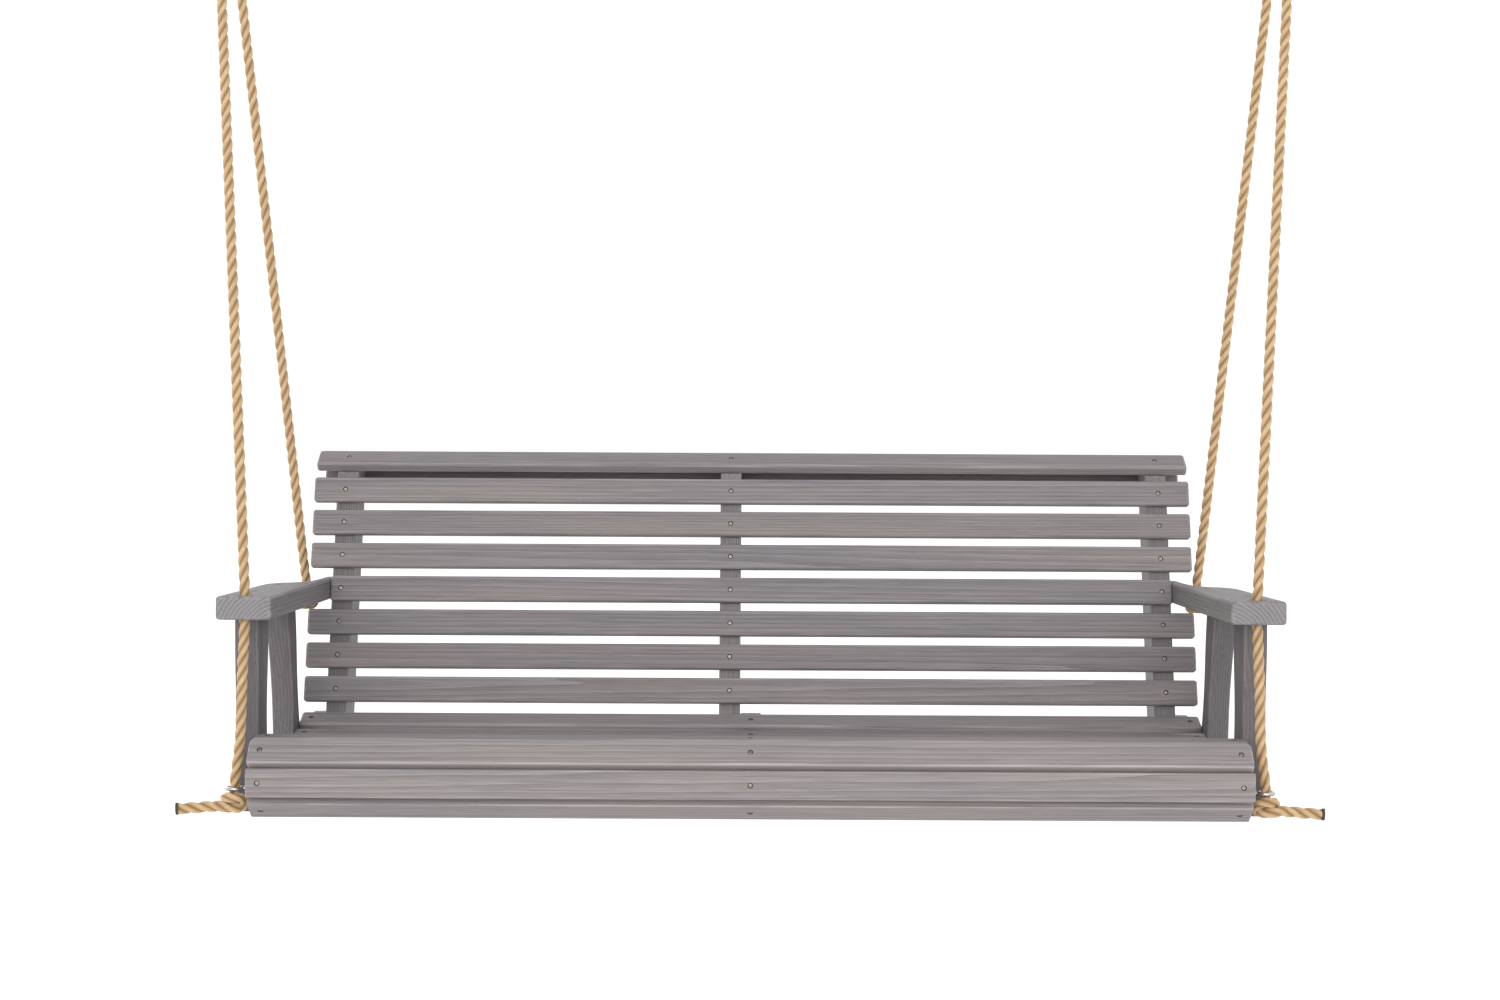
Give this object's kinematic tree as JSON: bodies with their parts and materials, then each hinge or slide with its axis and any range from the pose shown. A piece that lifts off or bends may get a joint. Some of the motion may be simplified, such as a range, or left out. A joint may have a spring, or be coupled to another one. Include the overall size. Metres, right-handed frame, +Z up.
{
  "type": "porch swing",
  "caption": "Slatted wooden bench seat with a rolled top and arm rests, hung on laid rope from two ceiling brackets.",
  "frame": {"origin": "midway between the top faces of the two ceiling plates that the swing hangs from", "axes": "+X to the sitter's left, which is the right as seen from the front, +Y towards the back of the bench, +Z up"},
  "size_m": [1.9672, 0.7083, 1.9613],
  "materials": {
    "front_timber": "grey-stained pine, satin",
    "back_timber": "grey-stained pine, satin",
    "frame_timber": "grey-stained pine, satin",
    "rope": "three-strand laid manila",
    "twine": "tarred twine whipping",
    "hardware": "zinc-plated steel"
  },
  "bodies": {
    "hangers": {"left_ceiling_bracket": "hardware", "left_hanger_pin": "hardware", "right_ceiling_bracket": "hardware", "right_hanger_pin": "hardware"},
    "swing": {"back_slat_1": "back_timber", "back_slat_2": "back_timber", "back_slat_3": "back_timber", "back_slat_4": "back_timber", "back_slat_5": "back_timber", "back_slat_6": "back_timber", "back_slat_7": "back_timber", "centre_brace": "frame_timber", "centre_brace_bolt": "hardware", "centre_rail": "frame_timber", "left_arm": "frame_timber", "left_brace": "frame_timber", "left_brace_bolt": "hardware", "left_front_eye_bolt": "hardware", "left_front_knot": "rope", "left_front_post": "frame_timber", "left_front_post_bolt": "hardware", "left_front_rope": "rope", "left_rail": "frame_timber", "left_rear_eye_bolt": "hardware", "left_rear_knot": "rope", "left_rear_post": "frame_timber", "left_rear_post_bolt": "hardware", "left_rear_rope": "rope", "left_seizing": "twine", "left_thimble": "hardware", "nose_slat_front": "front_timber", "nose_slat_lower": "front_timber", "nose_slat_upper": "front_timber", "right_arm": "frame_timber", "right_brace": "frame_timber", "right_brace_bolt": "hardware", "right_front_eye_bolt": "hardware", "right_front_knot": "rope", "right_front_post": "frame_timber", "right_front_post_bolt": "hardware", "right_front_rope": "rope", "right_rail": "frame_timber", "right_rear_eye_bolt": "hardware", "right_rear_knot": "rope", "right_rear_post": "frame_timber", "right_rear_post_bolt": "hardware", "right_rear_rope": "rope", "right_seizing": "twine", "right_thimble": "hardware", "roll_slat_front": "back_timber", "roll_slat_rear": "back_timber", "roll_slat_top": "back_timber", "seat_slat_1": "front_timber", "seat_slat_2": "front_timber", "seat_slat_3": "front_timber", "seat_slat_4": "front_timber", "seat_slat_5": "front_timber", "seat_slat_6": "front_timber", "seat_slat_7": "front_timber"}
  },
  "joints": [
    {"name": "swing_pivot", "type": "hinge", "parent": "hangers", "child": "swing", "pos_m": [0, 0, -0.05], "axis": [1, 0, 0], "range_deg": [-30, 30]}
  ]
}
